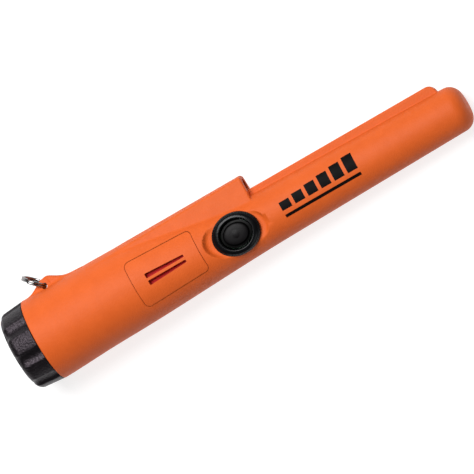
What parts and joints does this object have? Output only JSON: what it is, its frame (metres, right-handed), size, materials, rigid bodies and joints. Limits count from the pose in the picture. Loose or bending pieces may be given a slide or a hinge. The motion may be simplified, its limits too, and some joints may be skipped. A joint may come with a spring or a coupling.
{
  "type": "pinpointer probe",
  "caption": "Hand-held metal-detecting pinpointer: tapered orange handle and probe with scraping blade, oval push button, speaker slots, screw-on battery cap and lanyard ring.",
  "frame": {"origin": "centre of the battery cap's rear face", "axes": "+X along the handle to the probe tip, +Z out through the power button, +Y out through the spine and scraping blade"},
  "size_m": [0.229, 0.049, 0.0392],
  "materials": {
    "orange_plastic": "fine matte texture",
    "black_plastic": "fine moulded texture",
    "bezel_plastic": "semi-gloss",
    "button_rubber": "soft matte",
    "black_rubber": "matte",
    "red_screen": "woven acoustic cloth",
    "grey_foam": "open cell",
    "board_green": "solder mask",
    "chip_black": "moulded epoxy",
    "white_plastic": "moulded",
    "grey_plastic": "moulded",
    "steel": "polished",
    "bright_metal": "plain",
    "battery_sleeve": "printed sleeve, no text",
    "copper_winding": "enamelled copper wire",
    "ferrite": "sintered",
    "clear_lens": "clear",
    "speaker_brass": "plain"
  },
  "bodies": {
    "housing": {"housing": "orange_plastic", "speaker_cover": "orange_plastic", "speaker_screen": "red_screen", "speaker_gasket": "grey_foam", "speaker": "speaker_brass", "button_bezel": "bezel_plastic", "return_dome": "black_rubber", "tactile_switch": "bright_metal", "battery": "battery_sleeve", "battery_terminals": "bright_metal", "contact_plate": "grey_plastic", "contact_springs": "bright_metal", "contact_screws": "bright_metal", "chassis": "grey_plastic", "circuit_board": "board_green", "board_screws": "bright_metal", "microcontroller": "chip_black", "amplifier_chip": "chip_black", "capacitors": "bright_metal", "coil_connector": "white_plastic", "vibration_motor": "bright_metal", "motor_clip": "black_rubber", "lamp_lens": "clear_lens", "lamp_led": "clear_lens", "lamp_holder": "black_plastic", "coil_bobbin": "white_plastic", "ferrite_core": "ferrite", "receive_coil_rear": "copper_winding", "transmit_coil": "copper_winding", "receive_coil_front": "copper_winding", "tip_cushion": "grey_foam"},
    "cap_carrier": {"cap_seal": "black_rubber", "battery_cushion": "grey_foam"},
    "battery_cap": {"battery_cap": "black_plastic"},
    "power_button": {"power_button": "button_rubber"},
    "switch_plunger": {"switch_plunger": "white_plastic"},
    "motor_weight": {"motor_weight": "bright_metal"},
    "split_ring": {"split_ring": "steel"}
  },
  "joints": [
    {"name": "cap_lift", "type": "slide", "parent": "housing", "child": "cap_carrier", "axis": [-1, 0, 0], "range_m": [0, 0.00875]},
    {"name": "cap_turn", "type": "hinge", "parent": "cap_carrier", "child": "battery_cap", "pos_m": [0, 0, 0], "axis": [-1, 0, 0], "range_deg": [0, 1260]},
    {"name": "button_press", "type": "slide", "parent": "housing", "child": "power_button", "axis": [0, 0, -1], "range_m": [0, 0.0006], "stiffness_N_per_m": 4000, "springref_m": -0.0002, "deforming": ["return_dome"]},
    {"name": "switch_press", "type": "slide", "parent": "housing", "child": "switch_plunger", "axis": [0, 0, -1], "range_m": [0, 0.0006]},
    {"name": "motor_spin", "type": "hinge", "parent": "housing", "child": "motor_weight", "pos_m": [0.12, -0.0029, -0.0048], "axis": [1, 0, 0], "continuous": true},
    {"name": "ring_swing", "type": "hinge", "parent": "housing", "child": "split_ring", "pos_m": [0.0254, 0.0204, 0], "axis": [0, 0, 1], "range_deg": [-105, 32]}
  ],
  "couplings": [
    {"joint": "cap_lift", "follows": "cap_turn", "m_per_rad": 0.00039789},
    {"joint": "switch_press", "follows": "button_press", "ratio": 1}
  ]
}
